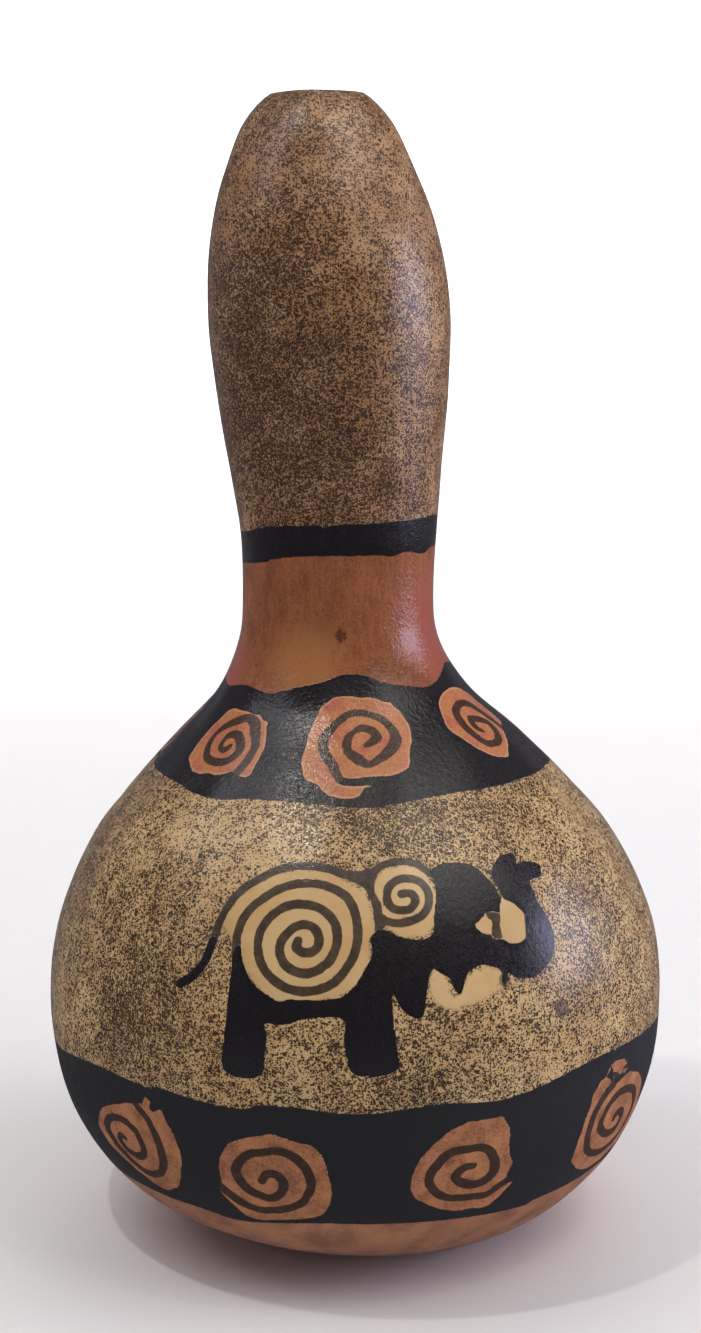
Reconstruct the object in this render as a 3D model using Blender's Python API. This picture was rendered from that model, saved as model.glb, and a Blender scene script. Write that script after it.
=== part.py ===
# A dried bottle gourd that stands upright on its blossom end: a broad belly, a narrow waist and a
# tall upper bulb that leans a little to the left.
# Units are metres and +Z is up. The origin is the middle of the flat foot, and the front faces -Y.

import math

import bmesh
import bpy
import numpy as np

OVERALL_HEIGHT = 0.340
BELLY_RADIUS = 0.0947
BELLY_HEIGHT = 0.070
WAIST_RADIUS = 0.0288
WAIST_HEIGHT = 0.196
BULB_RADIUS = 0.0360
BULB_HEIGHT = 0.278
FOOT_RADIUS = 0.0384
CROWN_RADIUS = 0.0137

# The outline from the edge of the foot to the rim of the crown, as (height, radius).
OUTLINE = (
    (0.0, FOOT_RADIUS),
    (0.0060, 0.600 * BELLY_RADIUS),
    (0.0200, 0.814 * BELLY_RADIUS),
    (0.0420, 0.951 * BELLY_RADIUS),
    (BELLY_HEIGHT, BELLY_RADIUS),
    (0.0980, 0.952 * BELLY_RADIUS),
    (0.1200, 0.839 * BELLY_RADIUS),
    (0.1400, 0.659 * BELLY_RADIUS),
    (0.1520, 1.764 * WAIST_RADIUS),
    (0.1660, 1.290 * WAIST_RADIUS),
    (0.1820, 1.033 * WAIST_RADIUS),
    (WAIST_HEIGHT, WAIST_RADIUS),
    (0.2300, 0.881 * BULB_RADIUS),
    (0.2540, 0.960 * BULB_RADIUS),
    (BULB_HEIGHT, BULB_RADIUS),
    (0.3040, 0.911 * BULB_RADIUS),
    (0.3220, 0.731 * BULB_RADIUS),
    (0.3340, 0.558 * BULB_RADIUS),
    (OVERALL_HEIGHT, CROWN_RADIUS),
)

# The crown sinks from its rim to a small raised scar, where the stem dropped off.
CROWN_HOLLOW = (
    (0.0007, 0.0105),
    (0.0020, 0.0070),
    (0.0026, 0.0046),
    (0.0018, 0.0034),
    (0.0015, 0.0016),
)

# How far the middle of the fruit drifts sideways with height, as (height, +X drift).
LEAN = (
    (0.0, 0.0),
    (0.0060, -0.0010),
    (0.0150, -0.0040),
    (0.0300, -0.0053),
    (0.0600, -0.0055),
    (0.1100, -0.0058),
    (0.1500, -0.0074),
    (0.1750, -0.0102),
    (0.2150, -0.0107),
    (0.2550, -0.0126),
    (OVERALL_HEIGHT, -0.0162),
)

# Soft lengthwise lobes, as (count, turn in degrees, depth of radius, height of most depth, spread).
LOBES = (
    (3, 0.0, 0.0060, 0.080, 0.055),
    (7, 40.0, 0.0030, 0.110, 0.050),
    (5, 20.0, 0.0080, 0.285, 0.045),
    (5, -14.0, 0.0420, OVERALL_HEIGHT, 0.026),
)

COLUMNS = 80
FOOT_RINGS = 4
BODY_RINGS = 52
SMALLEST_GAP = 1e-6

RIND_COLOUR = (0.36, 0.22, 0.12, 1.0)
RIND_ROUGHNESS = 0.42


def clear_scene():
    for thing in list(bpy.data.objects):
        bpy.data.objects.remove(thing, do_unlink=True)


def slopes(spots, values):
    """Slope at each spot: the mean of the slopes beside it, weighted by the nearer side."""
    steps = np.diff(spots)
    rates = np.diff(values) / steps
    inner = (rates[:-1] * steps[1:] + rates[1:] * steps[:-1]) / (steps[:-1] + steps[1:])
    return np.concatenate([rates[:1], inner, rates[-1:]])


def smooth_through(spots, values, wanted):
    """Reads a smooth curve through the given values at the wanted spots."""
    spots = np.asarray(spots, float)
    values = np.asarray(values, float)
    slope = slopes(spots, values)
    left = np.clip(np.searchsorted(spots, wanted, side="right") - 1, 0, len(spots) - 2)
    step = spots[left + 1] - spots[left]
    t = (wanted - spots[left]) / step
    start = (1 + 2 * t) * (1 - t) ** 2 * values[left] + t * (1 - t) ** 2 * step * slope[left]
    end = t**2 * (3 - 2 * t) * values[left + 1] + t**2 * (t - 1) * step * slope[left + 1]
    return start + end


def body_profile():
    """The outline as even rings, measured along its own length, as (radius, height)."""
    points = np.array([(radius, height) for height, radius in OUTLINE])
    lengths = np.linalg.norm(np.diff(points, axis=0), axis=1)
    along = np.concatenate([[0.0], np.cumsum(lengths)])
    wanted = np.linspace(0.0, along[-1], BODY_RINGS)
    radii = smooth_through(along, points[:, 0], wanted)
    heights = smooth_through(along, points[:, 1], wanted)
    return list(zip(radii, heights))


def whole_profile():
    """The outline from the middle of the foot to the middle of the crown."""
    foot = [(FOOT_RADIUS * ring / FOOT_RINGS, 0.0) for ring in range(FOOT_RINGS)]
    crown = [(radius, OVERALL_HEIGHT - depth) for depth, radius in CROWN_HOLLOW]
    middle = (0.0, crown[-1][1])
    return foot + body_profile() + crown + [middle]


def lobe_factor(angle, height):
    """How much a point stands out or in, for its angle from the front and its height."""
    factor = 1.0
    for count, turn, depth, place, spread in LOBES:
        strength = math.exp(-(((height - place) / spread) ** 2))
        factor += depth * strength * math.cos(count * (angle - math.radians(turn)))
    return factor


def shape_by_hand(mesh):
    """Gives the turned shape its lobes and its lean."""
    lean_heights, drifts = zip(*LEAN)
    for vertex in mesh.verts:
        height = vertex.co.z
        angle = math.atan2(vertex.co.x, -vertex.co.y)
        factor = lobe_factor(angle, height)
        vertex.co.x *= factor
        vertex.co.y *= factor
        vertex.co.x += float(smooth_through(lean_heights, drifts, height))


def turned_mesh():
    """Spins the outline round the upright axis and closes it at both ends."""
    mesh = bmesh.new()
    rings = [mesh.verts.new((radius, 0.0, height)) for radius, height in whole_profile()]
    edges = [mesh.edges.new(pair) for pair in zip(rings[:-1], rings[1:])]
    bmesh.ops.spin(
        mesh,
        geom=rings + edges,
        axis=(0, 0, 1),
        cent=(0, 0, 0),
        angle=math.tau,
        steps=COLUMNS,
        use_merge=True,
    )
    bmesh.ops.remove_doubles(mesh, verts=mesh.verts, dist=SMALLEST_GAP)
    return mesh


def rind_material():
    material = bpy.data.materials.new("painted_rind")
    material.use_nodes = True
    shader = material.node_tree.nodes["Principled BSDF"]
    shader.inputs["Base Color"].default_value = RIND_COLOUR
    shader.inputs["Roughness"].default_value = RIND_ROUGHNESS
    return material


def make_gourd():
    mesh = turned_mesh()
    shape_by_hand(mesh)
    bmesh.ops.recalc_face_normals(mesh, faces=mesh.faces)
    data = bpy.data.meshes.new("gourd")
    mesh.to_mesh(data)
    mesh.free()
    data.shade_smooth()
    data.materials.append(rind_material())
    gourd = bpy.data.objects.new("gourd", data)
    bpy.context.scene.collection.objects.link(gourd)
    return gourd


clear_scene()
make_gourd()
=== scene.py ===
import math

import bmesh
import bpy
import numpy as np
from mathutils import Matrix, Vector, noise


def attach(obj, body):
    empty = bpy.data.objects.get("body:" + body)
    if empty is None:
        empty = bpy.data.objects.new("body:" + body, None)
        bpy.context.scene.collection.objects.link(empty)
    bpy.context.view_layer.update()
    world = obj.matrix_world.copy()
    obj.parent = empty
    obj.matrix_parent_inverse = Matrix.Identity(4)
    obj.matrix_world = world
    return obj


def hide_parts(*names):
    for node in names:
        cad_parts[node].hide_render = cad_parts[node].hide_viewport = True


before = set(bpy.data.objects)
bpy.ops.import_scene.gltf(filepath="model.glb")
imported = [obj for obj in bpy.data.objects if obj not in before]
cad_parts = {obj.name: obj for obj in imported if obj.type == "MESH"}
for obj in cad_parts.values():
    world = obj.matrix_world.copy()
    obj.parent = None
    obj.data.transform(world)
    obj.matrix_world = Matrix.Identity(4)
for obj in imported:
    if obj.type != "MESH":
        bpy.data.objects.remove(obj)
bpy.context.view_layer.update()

mm = 0.001


# The rind. Its places are given by "along", which counts the solid's rings from the middle of the
# foot, over the outside, to the middle of the crown, and by "around", the angle from the front.

rind = {
    "columns": 240,             # round the gourd
    "footRows": 2,              # for each ring of the solid
    "bodyRows": 3,
    "crownRows": 3,
    "motifCuts": (2, 1),        # finer faces under the painted figures, in front and behind
    "solidColumns": 80,
    "footRings": 4,
    "hollowReach": 12 * mm,     # rings closer to the axis than this, and this high, are in the
    "hollowAbove": 330 * mm,    # crown's hollow
    "dents": ((34 * mm, 0.45 * mm), (13 * mm, 0.16 * mm)),        # size and depth
    "ridges": {"count": 17, "depth": 0.28 * mm, "height": 138 * mm, "spread": 30 * mm},
}


def ringsOf(node):
    # the solid's rings in order, each as its middle, height and radii by angle
    mesh = bmesh.new()
    mesh.from_mesh(node.data)
    bmesh.ops.remove_doubles(mesh, verts=mesh.verts, dist=0.01 * mm)
    levels = {}
    for vertex in mesh.verts:
        levels.setdefault(round(vertex.co.z, 5), []).append(tuple(vertex.co))
    mesh.free()
    angles = np.arange(rind["solidColumns"]) * math.tau / rind["solidColumns"]
    outside, hollow = [], []
    for height, level in levels.items():
        level = np.array(level)
        middle = level[:, 0].mean()
        reach = np.hypot(level[:, 0] - middle, level[:, 1])
        level, reach = level[reach > 0.5 * mm], reach[reach > 0.5 * mm]
        around = np.arctan2(level[:, 0] - middle, -level[:, 1])
        found = (middle, height, np.interp(angles, around, reach, period=math.tau))
        inside = height > rind["hollowAbove"] and reach.mean() < rind["hollowReach"]
        (hollow if inside else outside).append(found)
    outside.sort(key=lambda ring: ring[1])
    hollow.sort(key=lambda ring: -ring[2].mean())
    middle, height, edge = outside[0]
    foot = [(middle, height, edge * ring / rind["footRings"]) for ring in range(rind["footRings"])]
    middle, height, edge = hollow[-1]
    rings = foot + outside + hollow + [(middle, height, edge * 0)]
    return [np.array(values) for values in zip(*rings)]


def smoothControls(values):
    # control values of the even cubic curve that passes through all the values
    count = len(values)
    matrix = np.diag(np.full(count, 4.0)) + np.eye(count, k=1) + np.eye(count, k=-1)
    matrix[0], matrix[-1] = 0, 0
    matrix[0, 0] = matrix[-1, -1] = 6
    inner = np.linalg.solve(matrix, 6 * values)
    return np.concatenate([[2 * inner[0] - inner[1]], inner, [2 * inner[-1] - inner[-2]]])


def cubicWeights(t):
    return (
        (1 - t) ** 3 / 6,
        (3 * t**3 - 6 * t**2 + 4) / 6,
        (3 * (t + t**2 - t**3) + 1) / 6,
        t**3 / 6,
    )


middles, heights, radii = ringsOf(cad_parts["gourd"])
lastRing = len(heights) - 1
middleCurve = smoothControls(middles)
heightCurve = smoothControls(heights)
radiusCurve = smoothControls(radii)


def readCurve(curve, along):
    spot = np.clip(np.floor(along).astype(int), 0, lastRing - 1)
    return sum(w * curve[spot + k] for k, w in enumerate(cubicWeights(along - spot)))


def rindAt(along, around):
    # places on the rind, for arrays of ring counts and angles
    along, around = np.broadcast_arrays(np.asarray(along, float), np.asarray(around, float))
    spot = np.clip(np.floor(along).astype(int), 0, lastRing - 1)
    columns = radii.shape[1]
    turn = around * columns / math.tau
    column = np.floor(turn).astype(int)
    radius = np.zeros(along.shape)
    for i, weight in enumerate(cubicWeights(along - spot)):
        for j, share in enumerate(cubicWeights(turn - column)):
            radius += weight * share * radiusCurve[spot + i, (column + j - 1) % columns]
    x = readCurve(middleCurve, along) + radius * np.sin(around)
    z = np.maximum(readCurve(heightCurve, along), 0)
    return np.stack([x, -radius * np.cos(around), z], -1)


fineAlong = np.linspace(0, lastRing, 40 * lastRing + 1)
fineHeight = np.maximum(readCurve(heightCurve, fineAlong), 0)
fineRadius = readCurve(smoothControls(radii.mean(1)), fineAlong)
fineLength = np.append(0, np.cumsum(np.hypot(np.diff(fineHeight), np.diff(fineRadius))))
footEdge = int(np.argmax(heights > 0.01 * mm)) - 1
crownRim = int(np.argmax(heights))


def alongAtHeight(height):
    outside = (fineAlong >= footEdge) & (fineAlong <= crownRim)
    return np.interp(height, fineHeight[outside], fineAlong[outside])


def lengthAt(along):
    return np.interp(along, fineAlong, fineLength)


def girthAt(along):
    return np.interp(along, fineAlong, fineRadius)


print("rind read from the solid:", lastRing + 1, "rings")


# The painting. A figure is drawn in millimetres on the rind itself: first number to the right,
# second number up, from the place on the rind that its angle and height give.

bands = {                       # edges as (angle in degrees, height in mm), all the way round
    "neckRing": {
        "top": ((-150, 213.6), (-115, 214.6), (-77, 213.0), (-49, 215.3), (-41, 216.2), (-11, 217.0),
                (-7, 216.4), (1, 217.3), (38, 217.9), (71, 218.2), (105, 216.6), (150, 214.8)),
        "bottom": ((-150, 205.2), (-110, 203.9), (-81, 203.4), (-48, 205.2), (-41, 206.4), (-15, 208.1),
                   (22, 208.1), (31, 207.6), (44, 208.5), (59, 207.3), (72, 208.7), (110, 207.6),
                   (155, 206.0)),
    },
    "shoulderBand": {
        "top": ((-165, 170.6), (-135, 168.4), (-105, 169.8), (-73, 167.4), (-54, 168.9), (-44, 168.5),
                (-35, 168.0), (-23, 170.0), (-9, 172.0), (3, 174.2), (14, 173.5), (23, 171.4),
                (35, 170.0), (44, 169.1), (55, 170.2), (67, 172.9), (76, 173.6), (100, 171.0),
                (125, 168.6), (150, 170.8), (172, 172.4)),
        "bottom": ((-160, 142.8), (-120, 141.4), (-90, 142.6), (-74, 142.1), (-58, 142.2), (-49, 141.0),
                   (-37, 140.9), (-28, 142.0), (-15, 142.4), (5, 141.3), (13, 142.2), (32, 143.4),
                   (57, 143.1), (80, 142.6), (115, 141.2), (150, 142.9)),
    },
    "lowerBand": {
        "top": ((-165, 66.8), (-130, 63.4), (-100, 61.0), (-75, 60.4), (-58, 64.1), (-51, 65.0),
                (-40, 64.6), (-35, 65.2), (-27, 64.3), (-19, 64.0), (-16, 65.9), (-9, 66.1),
                (1, 64.8), (14, 66.5), (25, 65.2), (37, 67.9), (47, 70.0), (58, 69.4),
                (68, 68.2), (95, 66.0), (125, 68.4), (155, 65.6)),
        "bottom": ((-160, 26.4), (-120, 27.8), (-80, 26.0), (-37, 26.6), (-24, 24.9), (-7, 27.8),
                   (16, 27.3), (35, 26.0), (41, 27.6), (80, 28.4), (125, 26.2)),
    },
}

elephant = {
    "angle": -9,
    "height": 110,
    "body": ((-20.5, -5.5), (-20.5, -9.5), (-21, -15.5), (-21.5, -23), (-22, -28.5), (-22.5, -35),
             (-21, -37.5), (-16, -38.5), (-10.5, -36.5), (-10, -31), (-9.5, -26), (-10, -22.7),
             (-4.5, -22.7), (1.5, -20.7), (11, -20.5), (11.5, -25.5), (12.5, -31.5), (13.5, -34.5),
             (16, -36), (22.5, -36), (26.3, -34), (26, -29.5), (25, -23), (24.2, -16), (24.6, -14.5),
             (27, -18.5), (30, -20.6), (32.2, -21), (33.2, -19), (33.5, -16), (34, -12), (34.5, -9),
             (35.5, -8), (37.5, -9.5), (40, -11), (40.5, -12), (41.5, -14), (42.5, -15.5),
             (43.5, -15.5), (44, -14.5), (44.5, -12.5), (45, -11), (46, -9.5), (47.5, -9),
             (50, -8.5), (52, -9), (54.5, -10), (56, -11), (58.5, -12), (61, -13.5), (64, -14),
             (67, -14), (70, -12.5), (73, -10), (74, -7), (74, -4), (72.5, -0.5), (70.5, 3),
             (68.5, 5.5), (67, 9), (65.5, 12), (67, 12.5), (70, 12.5), (71, 14.5), (70, 16),
             (67, 17.5), (63.5, 18), (61, 18), (60, 21), (57, 21.5), (54, 20.5), (52.5, 18.5),
             (52, 16.5), (52, 14.5), (51, 15), (48.5, 17.5), (46, 19.5), (43.5, 20.5), (40, 21),
             (37, 21), (34.5, 20), (33.5, 19), (34.2, 17.8), (35, 14.5), (35.4, 10.5), (35, 5.5),
             (35, 1.8), (32.5, 0.1), (29, 0.4), (25.5, 1.3), (22.8, 2.6), (20.8, 3.3), (18.7, 2.5),
             (17.5, 0.5), (18.3, -1.6), (18, -4), (16, -8), (14, -11.3), (11, -14.3), (5.5, -15.5),
             (-2.5, -15.5), (-6.5, -16.5), (-9.5, -15), (-13, -13), (-15.7, -10), (-17.3, -6.5),
             (-18.2, -3), (-19.5, -3)),
    "gaps": (
        ((56, 8.5), (58.5, 7.5), (61, 5.5), (63, 3.5), (63, 1.5), (63.5, -1.5), (63.5, -3),
         (62, -4), (60, -4), (58, -3.5), (56, -2), (55.5, 0), (55, 2), (55, 4), (55, 5.5), (55, 7)),
        ((50, 4.5), (52.5, 2.5), (52.5, 1), (52.5, -0.5), (50, 0), (48.5, 1), (47, 2.5), (48.5, 3.5)),
    ),
    "slit": ((51.5, 15.5, 1.2), (53, 13.3, 1), (54.5, 11, 1), (55.5, 9, 1), (56.5, 8, 1)),
    "tusk": ((50.5, 5.5), (53, 5.5), (55, 4.5), (55, 1.5), (55.5, -0.5), (56, -2), (54, -2),
             (52.5, -1), (52.5, 1), (52.5, 3), (51, 4)),
    "drip": ((55.5, -10.5), (57.5, -11.5), (58, -13), (57.5, -14), (57, -15.5), (56, -14),
             (56, -12.5)),
    "lines": (
        {"line": ((-37, -15.6), (-33.5, -13.4), (-30.2, -10), (-28.2, -6.5), (-26.8, -2.5), (-25.6, 2),
                  (-24, 6), (-22, 9.2), (-19, 13), (-14, 16.7), (-9, 19.6), (-4.5, 21), (0.5, 21.4),
                  (5.5, 20.5), (9.5, 19), (12.5, 17.8)), "width": 2.5},
        {"line": ((-2, 0), (-2.4, -1.8), (-0.5, -3), (1.8, -2.8), (3.5, -1.4), (3.7, 1), (2.7, 3.2),
                  (1, 4.4), (-1.5, 4.4), (-4, 3), (-6.2, 0.4), (-7, -2.2), (-6.2, -5.3), (-4, -7.5),
                  (-0.7, -8.6), (2.2, -8.3), (5.2, -6.6), (7.5, -4), (8.6, 0), (8.3, 3.5), (6.9, 6.5),
                  (4, 9), (1, 10), (-3, 10.1), (-6.5, 9), (-9.7, 6.5), (-12, 3.3), (-13.1, 0),
                  (-13.1, -3.2), (-12.2, -6.3), (-10.1, -9.2), (-7, -11.7), (-3.2, -13.1),
                  (1, -13.4), (5.4, -12.4), (9, -10.2), (11.5, -7), (13.3, -3.4), (14.1, 0.7),
                  (13.7, 5.4), (12.3, 9.8), (9.9, 13), (6.5, 15), (3, 16.1), (-1.5, 16.2),
                  (-5.4, 15.3), (-9, 13.6), (-12.6, 11), (-16.3, 7.5), (-18.4, 4), (-19.5, 0),
                  (-19.5, -4), (-19.3, -7.5)), "width": 2.6},
        {"line": ((17.6, 20), (19.6, 21.6), (22, 22.4), (25, 22.6), (28, 22), (30, 20.9), (32, 19.4),
                  (34.2, 17.9)), "width": 2.2},
        {"line": ((25.4, 13), (27, 13.2), (28.6, 12.6), (29.5, 11), (29, 9.4), (27.5, 8.5),
                  (25.4, 8.4), (23.4, 9), (22, 10.6), (21.5, 12.6), (21.9, 15), (23.3, 16.6),
                  (25.5, 17.4), (28.2, 17.2), (30.6, 16), (32.5, 14), (33.4, 11.6), (33.1, 9),
                  (31.8, 6.9), (29.5, 5.6), (27, 5), (24.4, 4.9), (21.8, 5.6), (19.6, 7)),
         "width": 2.4},
    ),
    "tail": {"line": ((-36.6, -15.5), (-33.5, -13.6), (-30.2, -10.2), (-28.2, -6.5), (-26.9, -2.5)),
             "width": 2.6},
    "shade": ((9, 20.3), (12, 20), (15.5, 20), (17.9, 21), (18.6, 19.3), (18, 17), (18, 14),
              (18.7, 12.5), (20.2, 9.8), (20.6, 7), (21.3, 4), (19.2, 2.5), (18.5, 5), (17.5, 10),
              (16, 13.5), (13.3, 16.2), (10, 18)),
    "clear": (
        ((-24.5, 2), (-23, 6), (-17.5, 13), (-8.5, 18.5), (1, 20.5), (9, 18), (14.5, 14), (18, 6.5),
         (19, 2.5), (17.5, 0), (18, -4), (14, -11.5), (5.5, -15.5), (-6.5, -16.5), (-13, -13),
         (-18, -6.5), (-21, -1.5)),
        ((31, 0.8), (26, 1), (21.5, 4), (20, 9.5), (18, 14), (19, 19.5), (22.5, 21.2), (28, 21),
         (32.5, 18), (35, 13), (35.6, 8), (34.8, 3)),
        ((35.5, -8), (39, -10.5), (42, -16), (46, -11), (51, -9), (56, -11.5), (54, -16), (47, -19),
         (40, -19), (35, -15)),
        ((54, 9.5), (60, 8), (65, 2), (64.5, -4.5), (59, -6), (54, -1.5), (46, 0.5), (46, 3),
         (50, 5.5)),
    ),
}

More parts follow.
